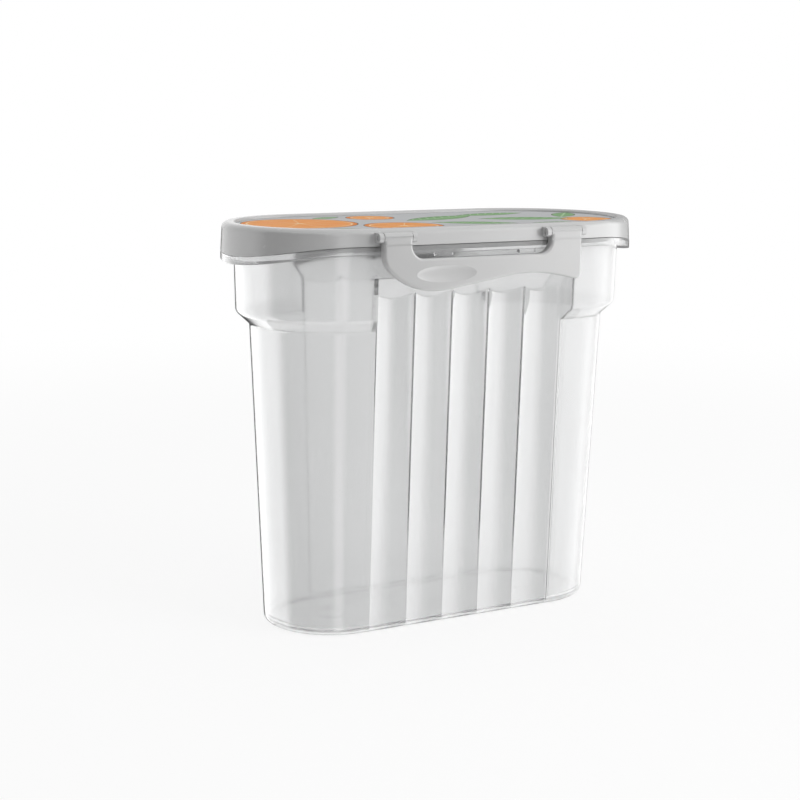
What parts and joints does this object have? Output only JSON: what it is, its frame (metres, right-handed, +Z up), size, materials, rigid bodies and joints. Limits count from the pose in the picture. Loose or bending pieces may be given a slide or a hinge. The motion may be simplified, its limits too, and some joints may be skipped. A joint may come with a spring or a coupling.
{
  "type": "food storage container",
  "caption": "Clear tapered tub of round-ended plan with fluted grip panels, closed by a grey plug lid with hinged side latches.",
  "frame": {"origin": "middle of the foot rim's plane, on the table under the tub", "axes": "+Z up, X along the tub's long sides, -Y towards the front latch"},
  "size_m": [0.19, 0.1008, 0.173],
  "materials": {
    "clear_plastic": "clear, glossy",
    "grey_plastic": "satin gloss",
    "seal": "matt silicone",
    "print_film": "gloss printed film"
  },
  "bodies": {
    "tub": {"container": "clear_plastic"},
    "lid": {"lid": "grey_plastic", "seal_ring": "seal", "lid_print": "print_film"},
    "front_latch": {"front_latch": "grey_plastic"},
    "rear_latch": {"rear_latch": "grey_plastic"}
  },
  "joints": [
    {"name": "lid_lift", "type": "slide", "parent": "tub", "child": "lid", "axis": [0, 0, 1], "range_m": [0, 0.08]},
    {"name": "front_latch_hinge", "type": "hinge", "parent": "lid", "child": "front_latch", "pos_m": [0, -0.0483, 0.1696], "axis": [-1, 0, 0], "range_deg": [0, 135]},
    {"name": "rear_latch_hinge", "type": "hinge", "parent": "lid", "child": "rear_latch", "pos_m": [0, 0.0483, 0.1696], "axis": [1, 0, 0], "range_deg": [0, 135]}
  ]
}
